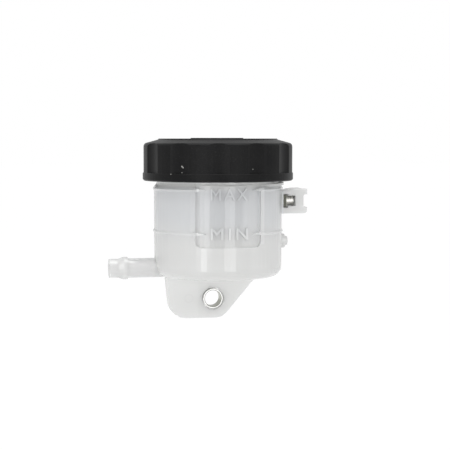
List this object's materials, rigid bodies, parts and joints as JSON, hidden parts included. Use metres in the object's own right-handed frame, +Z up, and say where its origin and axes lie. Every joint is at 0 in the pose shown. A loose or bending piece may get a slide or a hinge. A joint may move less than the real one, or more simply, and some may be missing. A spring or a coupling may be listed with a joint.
{
  "type": "brake fluid reservoir",
  "caption": "Small round fluid reservoir with a fluted screw cap, level panel, barbed hose spigot, bolt lug with a steel bush and a lug for a cap lock.",
  "frame": {"origin": "centre of the mounting bolt's bush, on its rear end face", "axes": "+Z up along the cap's axis; +Y back along the bolt, away from the level panel; the hose spigot points to -X and the cap lock's lug to +X"},
  "size_m": [0.0753, 0.0567, 0.0695],
  "materials": {
    "milky_plastic": "translucent natural polyamide, satin moulded surface",
    "black_plastic": "black moulded plastic, satin",
    "white_plastic": "plain white plastic",
    "black_rubber": "moulded rubber",
    "bush_steel": "turned and plated",
    "insert_steel": "turned and plated"
  },
  "bodies": {
    "reservoir": {"reservoir_body": "milky_plastic", "mount_bush": "bush_steel", "lock_insert": "insert_steel"},
    "disc": {"slip_disc": "white_plastic", "diaphragm": "black_rubber"},
    "cap": {"cap": "black_plastic"}
  },
  "joints": [
    {"name": "cap_lift", "type": "slide", "parent": "reservoir", "child": "disc", "axis": [0, 0, 1], "range_m": [0, 0.00376]},
    {"name": "cap_turn", "type": "hinge", "parent": "disc", "child": "cap", "pos_m": [0, -0.0163, 0.0463], "axis": [0, 0, 1], "range_deg": [0, 450]}
  ],
  "couplings": [
    {"joint": "cap_lift", "follows": "cap_turn", "m_per_rad": 0.00047746}
  ]
}
